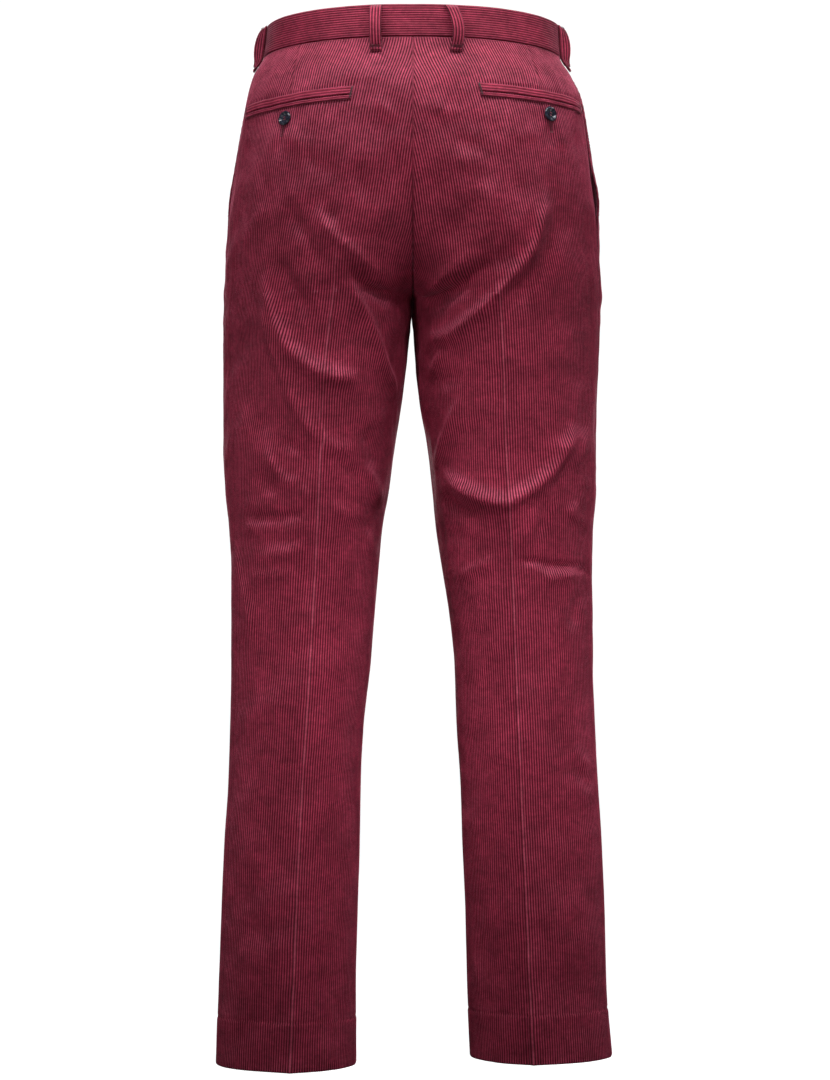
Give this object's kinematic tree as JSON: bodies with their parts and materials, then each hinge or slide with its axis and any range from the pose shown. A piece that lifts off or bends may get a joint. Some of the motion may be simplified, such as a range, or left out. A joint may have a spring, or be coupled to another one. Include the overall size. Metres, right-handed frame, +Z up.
{
  "type": "velvet trousers",
  "caption": "Full-length ribbed velvet trousers in worn form, open at waist and hems, with jetted buttoned back pockets, slanted side pockets, belt loops and pressed creases.",
  "frame": {"origin": "middle of the waist opening, half way up the waistband at the sides, where the wearer's waist holds the trousers", "axes": "+Z up along the legs towards the waist, -Y is the garment's front, +X is the wearer's left"},
  "size_m": [0.4069, 0.268, 1.0736],
  "materials": {
    "velvet": "ribbed cotton velvet, pile with a soft sheen",
    "button": "polished four-hole button",
    "zip": "woven tape with metal chain"
  },
  "bodies": {
    "root": {"back_left": "velvet", "back_right": "velvet", "front_left": "velvet", "front_right": "velvet", "side_pocket_left": "velvet", "side_pocket_right": "velvet", "waistband": "velvet", "belt_loop_back_left": "velvet", "belt_loop_back_right": "velvet", "belt_loop_side_left": "velvet", "belt_loop_side_right": "velvet", "belt_loop_front_left": "velvet", "belt_loop_front_right": "velvet", "back_pocket_left_upper": "velvet", "back_pocket_left_lower": "velvet", "back_pocket_right_upper": "velvet", "back_pocket_right_lower": "velvet", "back_pocket_left_button": "button", "back_pocket_right_button": "button", "waist_button": "button", "fly_zip": "zip"}
  },
  "joints": []
}
